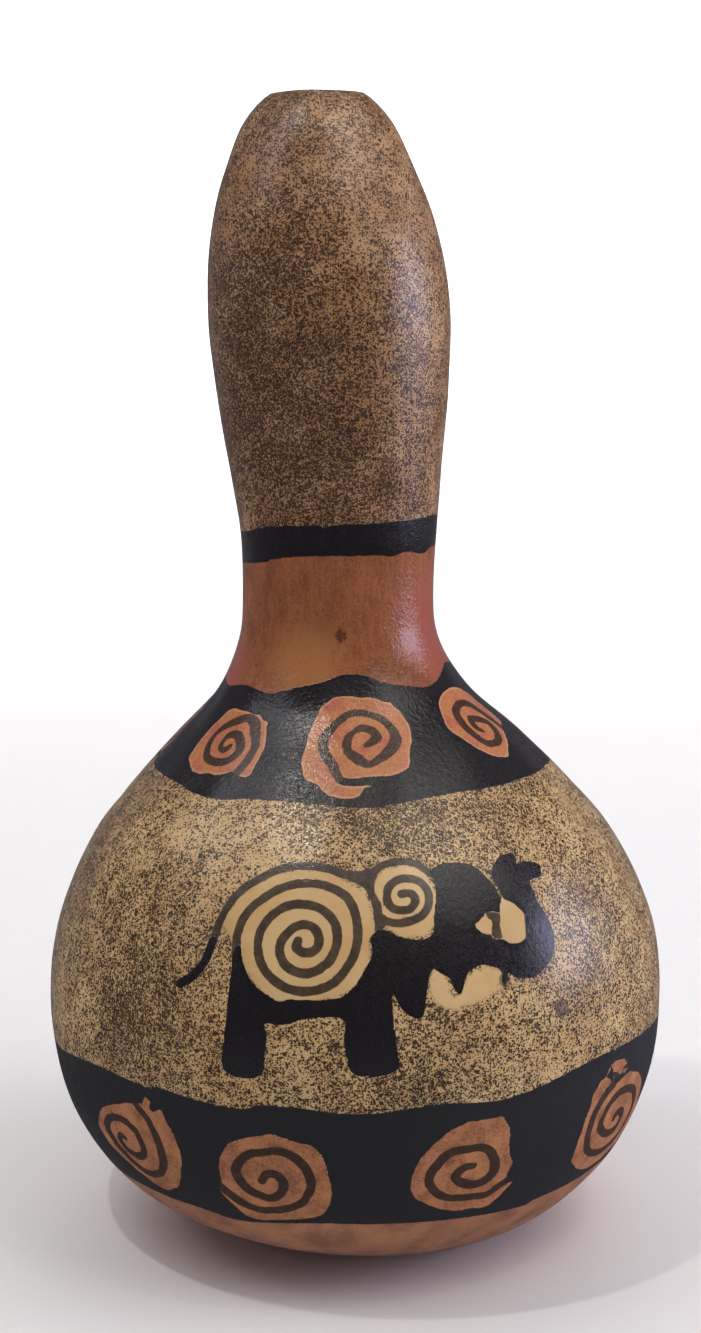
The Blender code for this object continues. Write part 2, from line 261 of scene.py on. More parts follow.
roundels = {                    # strokes as (right, up, width)
    "shoulderLeft": {
        "angle": -46, "height": 154,
        "field": ((-6, 12), (-2.5, 12), (1, 12), (3.5, 11.5), (6, 11.5), (8, 10), (10, 9.5),
                  (10, 8.5), (11, 6.5), (12.5, 3.5), (13.5, 1), (14, -3), (14, -5.5), (14, -9.5),
                  (10, -10), (8, -9), (5.5, -10), (2.5, -11), (-1, -11), (-4.5, -12), (-8.5, -11.5),
                  (-11.5, -9.5), (-13.5, -8), (-13.5, -5.5), (-13.5, -2.5), (-12.5, 1), (-11.5, 4.5),
                  (-10, 7.5), (-8.5, 10.5)),
        "coil": ((2, 0, 0.7), (1.5, -1, 2), (0, -2.5, 2.2), (-2, -2, 2), (-2.5, 0, 1.8),
                 (-1.5, 2.5, 2.4), (0.5, 3.5, 2.9), (2.5, 3, 3.2), (5, 0.5, 3), (6, -2, 2.8),
                 (4.5, -5, 2.8), (2, -6.5, 2.9), (-1.5, -7, 2.8), (-5, -6.5, 2.5), (-7, -4.5, 2.3),
                 (-8, -1.5, 2.4), (-8, 1, 1.8), (-6.5, 4, 2.3), (-4, 6.5, 3.1), (0, 9, 3.1),
                 (2.5, 10, 2.9), (5.5, 8.5, 3.5), (7.5, 5.5, 3.3), (10, 1.5, 2.8), (10.5, -1, 2.7),
                 (10.5, -4.5, 3), (10, -7, 2.9), (9.5, -9, 2.8), (9, -11.5, 2.8)),
    },
    "shoulderMiddle": {
        "angle": 5, "height": 156,
        "field": ((-3, 16.5), (0, 16.5), (2.5, 16), (5, 16), (7, 15.5), (9, 14.5), (11, 14),
                  (12, 12.5), (13.5, 11), (14.5, 8.5), (15.5, 6), (15.5, 3), (15, 0), (14, -2.5),
                  (13, -7.5), (12, -8.5), (10, -9.5), (9, -10), (7, -10.5), (2, -10.5),
                  (-2.5, -11), (-5, -11), (-6.5, -10.7), (-8, -12.5), (-5.5, -13.5), (-1.5, -13.5),
                  (1.5, -13.5), (-1, -14.5), (-2, -16), (-3, -17), (-5, -17.5), (-7.5, -17.5),
                  (-10, -17), (-11.5, -16.5), (-13, -15), (-14, -13.5), (-16, -12.5), (-17.5, -11.5),
                  (-18, -9.5), (-18, -6), (-17.5, -4), (-16, -0.5), (-15, 2.5), (-14, 5),
                  (-12.5, 8), (-11, 10.5), (-9.5, 13), (-7.5, 14.5), (-5.5, 16)),
        "coil": ((0.5, 0, 0.5), (1.5, 0, 1.9), (4, 1.5, 2.9), (5, 3, 3), (4, 5, 2.9),
                 (1.5, 6, 2.6), (-1, 5, 1.8), (-3, 3, 2.4), (-4, 0.5, 2.9), (-4, -2, 2.6),
                 (-2, -4, 3.6), (-0.5, -5.5, 3.2), (1.5, -6.5, 2.4), (4.5, -5, 2.6),
                 (7.5, -2.5, 3.3), (10, 0.5, 3.7), (10.5, 3.5, 3.1), (9, 7, 2.7),
                 (6.5, 9.5, 2.5), (2.5, 11, 2.3), (-1, 11, 2.4), (-4.5, 9, 2.3),
                 (-8, 5.5, 2.7), (-10.5, 2, 3), (-11, -1, 3.2), (-10.5, -3.5, 3.2),
                 (-9, -6.5, 3), (-8.5, -9, 2.9), (-7.5, -11.5, 2.6)),
    },
    "shoulderRight": {
        "angle": 61, "height": 158,
        "field": ((5.5, 11.5), (8, 10), (11, 8), (12.5, 5), (14, 2.5), (15, -0.5), (15, -3.5),
                  (12.5, -4.5), (9, -6), (7, -7.5), (4.5, -9.5), (1, -12), (-1, -13.5), (-4, -13),
                  (-7, -12), (-9, -10.5), (-11, -8.5), (-12.5, -6), (-13.5, -3.5), (-14.5, -0.5),
                  (-14, 2), (-12.5, 4.5), (-11, 7), (-9.5, 9), (-6.5, 11), (-3, 12), (1, 12.5)),
        "coil": ((-1.5, -3.5, 1.3), (-3, -2, 2.4), (-3, 0, 2.6), (-1.8, 1.6, 2.4), (0.5, 1, 2.8),
                 (2.8, 0, 3), (4.6, -1.5, 3), (4.6, -4, 3), (3, -6.5, 2.8), (0, -8, 2.7),
                 (-3, -8, 2.6), (-5, -7.5, 2.8), (-6.5, -5.5, 3), (-7.5, -3, 3.3),
                 (-7.7, -0.5, 3.3), (-7, 2.5, 3.6), (-5.5, 5, 3.2), (-1, 7, 2.4), (3, 6.5, 2.8),
                 (5.5, 4.5, 3), (7.2, 2, 3), (9, -1, 3), (10, -3, 3), (10.8, -6.5, 3)),
    },
    "lowerOne": {
        "angle": -44, "height": 44,
        "field": ((-16, 4.5), (-13.5, 7.5), (-9, 10), (-4, 12), (0, 13.5), (2.5, 14), (6, 15),
                  (6.5, 14.5), (7.5, 16.5), (8.5, 18), (11, 18), (11.5, 17.5), (10, 16),
                  (9.5, 14.5), (10.5, 13.5), (12, 14), (13.5, 15), (14.5, 14), (15.5, 11.5),
                  (17, 9), (18, 5.5), (18.5, 2), (18, -1), (16, -6), (13, -11), (9, -14),
                  (6, -15.5), (3.5, -15.5), (0.5, -14.5), (-2.5, -13), (-5.5, -11.5), (-8.5, -9.5),
                  (-12, -7.5), (-15, -5.5), (-17, -2.5), (-18, 0.5)),
        "coil": ((-4, 0.5, 1.7), (-6, 1, 2.2), (-7.2, -0.5, 2.4), (-6.8, -2, 2.4), (-5, -3.8, 2.4),
                 (-3, -4.5, 2.6), (0, -4.5, 2.8), (3, -2.5, 2.6), (3.7, 0.5, 2.8), (3, 3, 2.8),
                 (2, 5, 2.7), (0, 6, 2.6), (-2, 7, 2.5), (-6, 7, 2.5), (-10, 5.5, 2.4),
                 (-12.5, 2.5, 3.2), (-12.5, 0, 3.4), (-11, -2.5, 3.2), (-9.5, -4.5, 2.9),
                 (-6.5, -7, 2.6), (-4.5, -8.5, 2.6), (-1.5, -10, 2.8), (1.5, -10.5, 2.9),
                 (5, -9.5, 2.6), (8.5, -7, 2.5), (10.5, -3.5, 3.3), (11, -0.5, 3.4), (11, 2.5, 3.2),
                 (10.5, 5.5, 3), (9.5, 8, 2.6), (8.5, 10, 2.6), (6.5, 12, 2.4), (5, 13, 2.4),
                 (3.5, 14.5, 2.2), (1.5, 16, 1.8)),
    },
    "lowerTwo": {
        "angle": -15, "height": 42,
        "field": ((1.5, 16), (-2, 15), (-6, 14), (-9, 12.5), (-11.5, 11), (-13.5, 8), (-15, 4.5),
                  (-15, 1), (-15, -2), (-16, -5.5), (-16, -7.5), (-14, -10.5), (-11.5, -14),
                  (-9, -16.5), (-5.5, -17), (-1, -16), (3, -15), (7.5, -14), (11.5, -12.5),
                  (14.5, -9.5), (16.5, -4.5), (17, -0.5), (16.5, 3.5), (16, 8), (14.5, 11.5),
                  (12.5, 13.5), (9.5, 14), (5.5, 15)),
        "coil": ((-2.5, 0, 2.5), (-1, 2.5, 2.7), (1.5, 3, 3), (3.5, 1, 3), (3.5, -2, 2.7),
                 (1.5, -5, 2.8), (-1, -6.5, 3), (-4, -5.5, 3.2), (-7, -4, 3.5), (-9, -1, 3.5),
                 (-10, 2.5, 3.1), (-8, 6.5, 2.8), (-5, 9, 2.7), (-1.5, 10, 2.5), (2.5, 11, 2.6),
                 (6.5, 10, 3), (9.5, 7.5, 3), (11, 4.5, 3), (11.5, 0.5, 2.8), (10, -4, 2.5),
                 (7.5, -7.5, 2.7), (3.5, -10, 2.8), (-1, -11.5, 3), (-5.5, -12, 3.2),
                 (-9.5, -10.5, 3.5), (-12.5, -8, 3.6), (-15.5, -5, 3.2), (-17, -3, 3)),
    },
    "lowerThree": {
        "angle": 19, "height": 46,
        "field": ((10.5, 14.5), (7, 14.5), (3.5, 14.5), (0, 14.5), (-3, 13.5), (-6.5, 11.5),
                  (-9.5, 9), (-12, 6), (-14, 2), (-14.5, -2), (-14.5, -5), (-13, -9), (-9.5, -12),
                  (-5, -15), (0.5, -17), (5, -17), (9.5, -17.5), (12.5, -15), (15, -11.5),
                  (17, -9), (14.5, -9), (14.5, -5.5), (15, -3.5), (15.5, -1.5), (14, 1.5),
                  (13.5, 6), (13, 10), (12, 12)),
        "coil": ((3, 0, 2), (0.5, 0, 2.8), (-1.5, -1.5, 3.1), (-2, -3.5, 2.8), (1, -6, 3.1),
                 (4, -7, 3.2), (7.5, -6, 3.5), (9.5, -3.5, 3.5), (9.5, 0, 3.2), (7.5, 4, 2.8),
                 (4.5, 6, 2.5), (1, 6, 2.6), (-2.5, 6, 2.8), (-5.5, 5, 3), (-8, 2, 3.1),
                 (-9.5, -1, 3), (-9.5, -4, 2.7), (-7, -8, 2.7), (-3.5, -10.5, 2.8),
                 (0.5, -11.5, 2.8), (5.5, -12, 2.8), (9, -12, 2.8), (12.5, -9.5, 2.8),
                 (16, -7, 2.8), (18.5, -5, 2.8)),
    },
    "lowerFour": {
        "angle": 57, "height": 46,
        "field": ((1, 14), (5.5, 13), (11, 10.5), (15.5, 7), (18, 3), (19.5, -2), (19.5, -6.5),
                  (17.5, -10.5), (14, -14), (8.5, -16), (3.5, -17), (-1.5, -17), (-5, -17),
                  (-8.5, -16), (-13, -14), (-19, -9), (-19.5, -6), (-20, -2), (-20, 3),
                  (-19.5, 6.5), (-18.5, 9.5), (-18, 13), (-16, 15), (-13, 17), (-10.5, 15.5),
                  (-8, 14), (-6, 13), (-2.5, 13.5)),
        "flag": ((-11, 21), (-7.5, 20.5), (-3, 19.5), (0.5, 18.5), (1, 17), (-2, 16), (-5, 15.5),
                 (-6.5, 15), (-9, 17.5), (-10.5, 19.5)),
        "coil": ((-2, 0, 2.2), (-1.2, 1.6, 2.6), (1.2, 1.6, 2.8), (3.6, -0.5, 3), (3.8, -3, 3.1),
                 (2, -5, 3.1), (-2.5, -5, 2.9), (-6.5, -3, 2.7), (-9.5, -0.5, 3), (-10.5, 1.5, 3.1),
                 (-10, 4, 3), (-9, 6, 3), (-6.5, 8, 2.9), (-2.5, 9, 2.8), (2, 8.5, 2.7),
                 (7, 7, 2.7), (10.5, 4, 3), (12.5, 0.5, 3.2), (13, -4, 3.3), (11.5, -7.5, 3.2),
                 (9.5, -9.5, 3), (6.5, -11, 3), (2.5, -11.8, 3), (-1.5, -11.8, 2.9),
                 (-5, -11, 2.8), (-10, -9, 2.4), (-13.5, -6, 2.8), (-15, -3, 3), (-16, 0, 3.1),
                 (-16, 3.5, 3.1), (-15.5, 6.5, 3), (-14, 9, 3), (-12, 11, 3), (-9.5, 12.5, 2.9),
                 (-7.5, 13, 2.8), (-6.5, 14.5, 2.6), (-9.5, 17.5, 2.1), (-12, 20.5, 2)),
        "arm": ((-6.5, 14.5, 2.6), (-2.5, 15.5, 2.6), (0.5, 16, 2.6), (3.5, 17, 2.4)),
    },
}

behind = {                      # the side that isn't seen goes on with the same figures, redrawn
    "elephantAngle": 176,
    "elephantScale": 0.94,
    "shoulder": ((112, "shoulderLeft", 0.98, 14), (160, "shoulderMiddle", 0.9, -8),
                 (207, "shoulderRight", 1.0, 10), (258, "shoulderLeft", 1.04, -20)),
    "lower": ((107, "lowerTwo", 0.98, 12), (146, "lowerThree", 0.96, -10), (184, "lowerOne", 0.9, 8),
              (222, "lowerTwo", 1.0, -16), (263, "lowerThree", 1.02, 18)),
}

farAway = -9.0                  # mm outside any painted edge
samplesPerStep = 10


def smoothLine(points, closed=False):
    # a curve through given points
    points = np.array(points, float)
    if closed:
        ends = np.concatenate([points[-1:], points, points[:2]])
    else:
        ends = np.concatenate([2 * points[:1] - points[1:2], points, 2 * points[-1:] - points[-2:-1]])
    t = np.linspace(0, 1, samplesPerStep, endpoint=False)[:, None]
    runs = []
    for a, b, c, d in zip(ends, ends[1:], ends[2:], ends[3:]):
        runs.append(b + t * (c - a) / 2 + t**2 * (a - 2.5 * b + 2 * c - d / 2)
                    + t**3 * (1.5 * (b - c) + (d - a) / 2))
    if not closed:
        runs.append(points[-1:])
    return np.concatenate(runs)


def turned(points, scale, degrees):
    # a figure, with any widths, made larger and turned about its own middle
    c, s = math.cos(math.radians(degrees)), math.sin(math.radians(degrees))
    return [(scale * (u * c - v * s), scale * (u * s + v * c), *(scale * width for width in widths))
            for u, v, *widths in points]


class Painting:
    # the skin's points, and how deep each lies inside each paint, in mm (negative is outside)
    def __init__(self, along, around):
        self.along, self.around = along, around
        self.places = rindAt(along, around)
        self.height = self.places[:, 2] / mm
        self.layers = {name: np.full(len(along), farAway)
                       for name in ("blackPaint", "brownPaint", "field", "clear")}

    def local(self, angle, height):
        # each point's drawing coordinates from a figure's place
        start = lengthAt(alongAtHeight(height * mm))
        turn = (self.around - math.radians(angle) + math.pi) % math.tau - math.pi
        return np.stack([turn * girthAt(self.along), lengthAt(self.along) - start], -1) / mm

    def onRind(self, points, angle, height):
        start = lengthAt(alongAtHeight(height * mm))
        along = np.interp(start + points[:, 1] * mm, fineLength, fineAlong)
        return rindAt(along, math.radians(angle) + points[:, 0] * mm / girthAt(along))

    def nearest(self, line, angle, height):
        # the skin's points near a drawn line, how far each is from it, and its closest sample
        drawn = self.local(angle, height)
        low, high = line[:, :2].min(0) + farAway, line[:, :2].max(0) - farAway
        near = np.flatnonzero(((drawn > low) & (drawn < high)).all(1))
        places = self.onRind(line, angle, height)
        distance, closest = np.empty(len(near)), np.empty(len(near), int)
        for start in range(0, len(near), 1500):
            some = slice(start, start + 1500)
            squares = ((self.places[near[some], None] - places[None]) ** 2).sum(-1)
            closest[some] = squares.argmin(1)
            distance[some] = np.sqrt(squares.min(1)) / mm
        return near, drawn[near], distance, closest

    def everywhere(self, near, depth):
        result = np.full(len(self.along), farAway)
        result[near] = np.maximum(depth, farAway)
        return result

    def shape(self, points, angle, height):
        # how deep each point lies inside a closed outline
        line = smoothLine(points, True)
        near, drawn, distance, closest = self.nearest(line, angle, height)
        return self.everywhere(near, np.where(insideOf(drawn, line), distance, -distance))

    def stroke(self, points, angle, height, width=0.0):
        # how deep each point lies inside a brushed line, of one width or of a width at each point
        line = smoothLine(points)
        widths = line[:, 2] if line.shape[1] == 3 else np.full(len(line), width)
        near, drawn, distance, closest = self.nearest(line, angle, height)
        return self.everywhere(near, widths[closest] / 2 - distance)

    def add(self, layer, depth):
        self.layers[layer] = np.maximum(self.layers[layer], depth)

    def cut(self, layer, depth):
        self.layers[layer] = np.minimum(self.layers[layer], -depth)


def insideOf(points, outline):
    inside = np.zeros(len(points), bool)
    for (u1, v1), (u2, v2) in zip(outline, np.roll(outline, -1, 0)):
        if v1 == v2:
            continue
        crosses = (points[:, 1] < v1) != (points[:, 1] < v2)
        inside ^= crosses & (points[:, 0] < u1 + (points[:, 1] - v1) * (u2 - u1) / (v2 - v1))
    return inside


def edgeHeight(edge, around):
    # height of a band's hand-drawn edge at each angle
    line = smoothLine(edge + ((edge[0][0] + 360, edge[0][1]),))
    degrees = np.degrees(around)
    first = edge[0][0]
    return np.interp((degrees - first) % 360 + first, line[:, 0], line[:, 1])


def paintBands(painting):
    for band in bands.values():
        top = edgeHeight(band["top"], painting.around)
        bottom = edgeHeight(band["bottom"], painting.around)
        lengths = [lengthAt(alongAtHeight(edge * mm)) for edge in (top, bottom)]
        here = lengthAt(painting.along)
        depth = np.minimum(lengths[0] - here, here - lengths[1]) / mm
        painting.add("blackPaint", np.maximum(depth, farAway))


def paintRoundel(painting, drawing, angle, height, scale=1.0, turn=0.0):
    for name in ("field", "flag"):
        if name in drawing:
            field = painting.shape(turned(drawing[name], scale, turn), angle, height)
            painting.cut("blackPaint", field)
            painting.add("field", field)
    for name in ("coil", "arm"):
        if name in drawing:
            line = turned(drawing[name], scale, turn)
            painting.add("brownPaint", painting.stroke(line, angle, height))


def paintElephant(painting, angle, height, scale):
    def shape(name):
        return painting.shape(turned(elephant[name], scale, 0), angle, height)

    def stroke(line, width=0.0):
        return painting.stroke(turned(line, scale, 0), angle, height, width * scale)

    black = shape("body")
    for gap in elephant["gaps"]:
        black = np.minimum(black, -painting.shape(turned(gap, scale, 0), angle, height))
    black = np.minimum(black, -stroke(elephant["slit"]))
    painting.add("blackPaint", np.minimum(black, -shape("tusk")))
    painting.add("blackPaint", shape("drip"))
    painting.add("blackPaint", stroke(elephant["tail"]["line"], elephant["tail"]["width"]))
    for drawn in elephant["lines"]:
        painting.add("brownPaint", stroke(drawn["line"], drawn["width"]))
    painting.add("brownPaint", shape("shade"))
    painting.add("brownPaint", shape("tusk"))
    for area in elephant["clear"]:
        painting.add("clear", painting.shape(turned(area, scale, 0), angle, height))


def paintAll(painting):
    paintBands(painting)
    for drawing in roundels.values():
        paintRoundel(painting, drawing, drawing["angle"], drawing["height"])
    for part in ("shoulder", "lower"):
        for angle, name, scale, turn in behind[part]:
            drawing = roundels[name]
            paintRoundel(painting, drawing, angle, drawing["height"], scale, turn)
    paintElephant(painting, elephant["angle"], elephant["height"], 1.0)
    paintElephant(painting, behind["elephantAngle"], elephant["height"] + 1, behind["elephantScale"])


finerFaces = {                  # where the skin is finer, under the painted figures, in mm and degrees
    "roundelReach": 21,
    "shoulderHeights": (141, 170),
    "lowerHeights": (26, 61),
    "elephantFront": (11.5, 36, 70, 134),       # past its angle, half width, lowest, highest
    "elephantBack": (10.5, 34, 71, 133),
}


def figureZones(places, elephantAngle, elephantZone):
    # each zone's angle, half width in degrees, lowest and highest height
    zones = []
    for angle, height, heights in places:
        reach = finerFaces["roundelReach"] * mm / float(girthAt(alongAtHeight(height * mm)))
        zones.append((angle, math.degrees(reach), *finerFaces[heights]))
    past, half, low, high = finerFaces[elephantZone]
    return zones + [(elephantAngle + past, half, low, high)]


def frontZones():
    places = [(drawing["angle"], drawing["height"],
               "lowerHeights" if name.startswith("lower") else "shoulderHeights")
              for name, drawing in roundels.items()]
    return figureZones(places, elephant["angle"], "elephantFront")


def backZones():
    places = [(angle, roundels[name]["height"], part + "Heights")
              for part in ("shoulder", "lower") for angle, name, *redrawn in behind[part]]
    return figureZones(places, behind["elephantAngle"], "elephantBack")


# The skin: a plain tube, one row for each step along, that is then laid onto the rind.

def tubeRows():
    rows = [0.0]
    for ring in range(lastRing):
        steps = rind["bodyRows"]
        if ring < footEdge:
            steps = rind["footRows"]
        elif ring >= crownRim:
            steps = rind["crownRows"]
        rows += [ring + (k + 1) / steps for k in range(steps)]
    return rows


def plainTube():
    mesh = bmesh.new()
    points = [mesh.verts.new((1, 0, row)) for row in tubeRows()]
    edges = [mesh.edges.new(pair) for pair in zip(points, points[1:])]
    bmesh.ops.spin(mesh, geom=points + edges, axis=(0, 0, 1), cent=(0, 0, 0), angle=math.tau,
                   steps=rind["columns"], use_merge=True)
    bmesh.ops.remove_doubles(mesh, verts=mesh.verts, dist=1e-5)
    return mesh


def refine(mesh, zones, cuts):
    zones = [(angle, half, alongAtHeight(low * mm), alongAtHeight(high * mm))
             for angle, half, low, high in zones]
    for face in mesh.faces:
        middle = face.calc_center_median()
        degrees = math.degrees(math.atan2(middle.x, -middle.y))
        face.tag = any(low < middle.z < high and abs((degrees - angle + 180) % 360 - 180) < half
                       for angle, half, low, high in zones)
    edges = [edge for edge in mesh.edges if any(face.tag for face in edge.link_faces)]
    bmesh.ops.subdivide_edges(mesh, edges=edges, cuts=cuts, use_grid_fill=True)


def relief(places, height, around):
    # the slight dents of a dried rind, and soft ridges down its shoulder
    ridges = rind["ridges"]
    strength = np.exp(-(((height - ridges["height"]) / ridges["spread"]) ** 2))
    wander = np.array([noise.noise(Vector(place) / (45 * mm)) for place in places])
    lift = ridges["depth"] * strength * np.cos(ridges["count"] * around + 5 * wander)
    for size, depth in rind["dents"]:
        lift += depth * np.array([noise.noise(Vector(place) / size) for place in places])
    return lift * np.clip(height / (12 * mm), 0, 1)


def layOnRind(mesh):
    tube = np.array([vertex.co for vertex in mesh.verts])
    along, around = tube[:, 2], np.arctan2(tube[:, 0], -tube[:, 1])
    places = rindAt(along, around)
    lift = relief(places, places[:, 2], around)
    lift *= np.clip((crownRim - along) / 2, 0, 1) * (along > footEdge)
    outward = np.stack([np.sin(around), -np.cos(around), 0 * around], -1)
    for vertex, place in zip(mesh.verts, places + outward * lift[:, None]):
        vertex.co = place
    return along, around


def makeSkin():
    mesh = plainTube()
    for zones, cuts in zip((frontZones(), backZones()), rind["motifCuts"]):
        refine(mesh, zones, cuts)
    along, around = layOnRind(mesh)
    painting = Painting(along, around)
    paintAll(painting)
    layers = {name: mesh.verts.layers.float.new(name) for name in painting.layers}
    for name, layer in layers.items():
        for vertex, value in zip(mesh.verts, painting.layers[name].tolist()):
            vertex[layer] = value
    bmesh.ops.remove_doubles(mesh, verts=mesh.verts, dist=0.001 * mm)
    bmesh.ops.recalc_face_normals(mesh, faces=mesh.faces)
    data = bpy.data.meshes.new("paintedRind")
    mesh.to_mesh(data)
    mesh.free()
    data.shade_smooth()
    skin = bpy.data.objects.new("paintedGourd", data)
    bpy.context.scene.collection.objects.link(skin)
    print("skin laid and painted:", len(data.vertices), "points,",
          sum(len(face.vertices) - 2 for face in data.polygons), "triangles")
    return skin


# Finishes

def feed(tree, socket, value):
    if isinstance(value, Wire):
        tree.links.new(value.socket, socket)
    else:
        socket.default_value = value


def addNode(tree, kind, settings, sockets, output=0):
    # the settings are set first, then the sockets, by name or number, to values or links
    made = tree.nodes.new(kind)
    for name, value in settings.items():
        setattr(made, name, value)
    for name, value in sockets.items():
        feed(tree, made.inputs[name], value)
    return Wire(tree, made.outputs[output])


class Wire:
    # a socket whose sums are written as plain Python, each adding its Math node
    def __init__(self, tree, socket):
        self.tree, self.socket = tree, socket

    def maths(self, operation, *values):
        return addNode(self.tree, "ShaderNodeMath", {"operation": operation}, dict(enumerate(values)))

    def __add__(self, other):
        return self.maths("ADD", self, other)

    def __radd__(self, other):
        return self.maths("ADD", other, self)

    def __sub__(self, other):
        return self.maths("SUBTRACT", self, other)

    def __rsub__(self, other):
        return self.maths("SUBTRACT", other, self)

    def __mul__(self, other):
        return self.maths("MULTIPLY", self, other)

    def __rmul__(self, other):
        return self.maths("MULTIPLY", other, self)

    def __truediv__(self, other):
        return self.maths("DIVIDE", self, other)

    def __abs__(self):
        return self.maths("ABSOLUTE", self)

    def larger(self, other):
        return self.maths("MAXIMUM", self, other)

    def step(self, low, high):
        # 0 below low, 1 above high, smooth between
        return addNode(self.tree, "ShaderNodeMapRange", {"interpolation_type": "SMOOTHSTEP"},
                       {"Value": self, "From Min": low, "From Max": high}, "Result")

    def beside(self, output):
        # another output of the same node
        return Wire(self.tree, self.socket.node.outputs[output])


class Finish:
    def __init__(self, name):
        self.material = bpy.data.materials.new(name)
        self.material.use_nodes = True
        self.tree = self.material.node_tree
        self.shader = self.tree.nodes["Principled BSDF"]
        self.place = self.node("ShaderNodeTexCoord", {}, {}, "Object")

    def node(self, kind, settings, sockets, output=0):
        return addNode(self.tree, kind, settings, sockets, output)

    def noise(self, size, detail=2.0, roughness=0.5, stretch=None, distortion=0.0):
        place = self.place
        if stretch:
            place = self.node("ShaderNodeVectorMath", {"operation": "MULTIPLY"}, {0: place, 1: stretch})
        return self.node("ShaderNodeTexNoise", {},
                         {"Vector": place, "Scale": 1 / size, "Detail": detail,
                          "Roughness": roughness, "Distortion": distortion}, "Fac")

    def layer(self, name):
        return self.node("ShaderNodeAttribute", {"attribute_name": name}, {}, "Fac")

    def blend(self, share, below, above):
        # sockets 6 and 7, and output 2, are the Mix node's colours
        return self.node("ShaderNodeMix", {"data_type": "RGBA"},
                         {"Factor": share, 6: below, 7: above}, 2)

    def near(self, point, reach):
        # 1 at a point, 0 beyond its reach, both in mm
        apart = self.node("ShaderNodeVectorMath", {"operation": "DISTANCE"},
                          {0: self.place, 1: [value * mm for value in point]}, "Value")
        return 1 - apart.step(0.0, reach * mm)


def colour(red, green, blue):
    # a colour as a paint chart gives it, 0 to 255
    def linear(value):
        value /= 255
        return value / 12.92 if value < 0.04045 else ((value + 0.055) / 1.055) ** 2.4
    return (linear(red), linear(green), linear(blue), 1.0)


paint = {
    "bellyLight": colour(220, 187, 134),
    "bellyWarm": colour(208, 164, 108),
    "bellyDull": colour(192, 156, 112),
    "bulbLight": colour(192, 152, 112),
    "bulbWarm": colour(174, 128, 86),
    "bulbDull": colour(162, 120, 82),
    "speck": colour(18, 10, 5),
    "bulbSpeck": colour(22, 13, 8),
    "dust": colour(112, 82, 50),
    "neck": colour(164, 100, 62),
    "neckDark": colour(126, 72, 45),
    "neckBrown": colour(104, 58, 34),
    "neckYellow": colour(176, 118, 70),
    "neckRed": colour(164, 86, 70),
    "base": colour(178, 124, 88),
    "baseDark": colour(142, 92, 64),
    "field": colour(198, 130, 82),
    "fieldPink": colour(188, 102, 80),
    "fieldGrain": colour(128, 80, 52),
    "fieldRim": colour(222, 172, 132),
    "lowerField": colour(192, 128, 82),
    "lowerFieldDark": colour(138, 84, 54),
    "black": colour(24, 20, 22),
    "blackWorn": colour(42, 37, 38),
    # the black made lighter and bluer low down, a painted reflection
    "lowerBlackPaintedReflection": colour(37, 36, 39),
    # a pale lavender painted onto the trunk's black as a reflection of the window
    "trunkPaintedReflection": colour(60, 58, 84),
    "coilBrown": colour(54, 36, 26),
    "coilWorn": colour(78, 54, 40),
    "figureBrown": colour(78, 66, 54),
    "figureDark": colour(54, 44, 38),
    "scar": colour(84, 44, 30),
    "ringMiddle": 211,          # mm, under the black paint
    "shoulderMiddle": 155,
    "lowerMiddle": 45,
    "lowerTones": (65, 90),     # heights in mm between which the lower colours fade out
    "trunk": ((58, -70, 108), 22),      # where the painted reflection on the trunk lies: a place in mm and its reach
    "drops": (          # cell size, share of cells filled where thin, more where thick, radius
        (0.47 * mm, 0.26, 0.72, 0.55), (0.74 * mm, 0.08, 0.64, 0.52), (1.3 * mm, 0.03, 0.17, 0.4),
    ),
    "dropPatches": (         # places where more or fewer drops are laid, as (place, reach, amount)
        ((-38, -24, 278), 38, 0.6), ((-38, -18, 238), 34, 0.6), ((-16, -31, 262), 28, 0.35),
        ((-12, -32, 234), 26, 0.35), ((-1, -32, 298), 30, -0.25), ((-76, -44, 113), 40, -0.2),
        ((-57, -43, 135), 30, -0.2), ((-36, -69, 126), 24, -0.2), ((3, -64, 137), 26, 0.4),
        ((-69, -67, 87), 30, 0.4), ((62, -50, 112), 24, 0.5), ((41, -80, 89), 20, 0.1),
        ((15, -93, 75), 20, 0.1), ((78, -43, 80), 30, -0.2), ((-46, -78, 104), 24, -0.2),
    ),
    "redSides": (((20, -12, 186), 30), ((-43, -10, 170), 18)),
    "yellowSide": ((-20, -30, 177), 24),
    "neckScar": ((-9.8, -29.4, 185), 3.4),
    "smudges": (((51.9, -73.0, 87.1), 5.2), ((35.4, -80.4, 97.7), 3.6)),
}

varnish = {
    "roughness": 0.1,           # where it shines most
    "patchyRoughness": 0.22,    # added by patches
    "mattRoughness": 0.32,      # added towards the foot, between the next heights in mm
    "mattHeights": (56, 76),
    "spotRoughness": 0.1,
    "specular": 0.4,
    "creasedHeights": (118, 150),       # more creases above these, in mm
    "bumpStrength": 0.7,
    "bumpDepth": 0.16 * mm,
}


def above(height, name):
    # 1 above the middle of a black band, under which one ground colour gives way to the next
    return height.step(paint[name] - 0.1, paint[name] + 0.1)


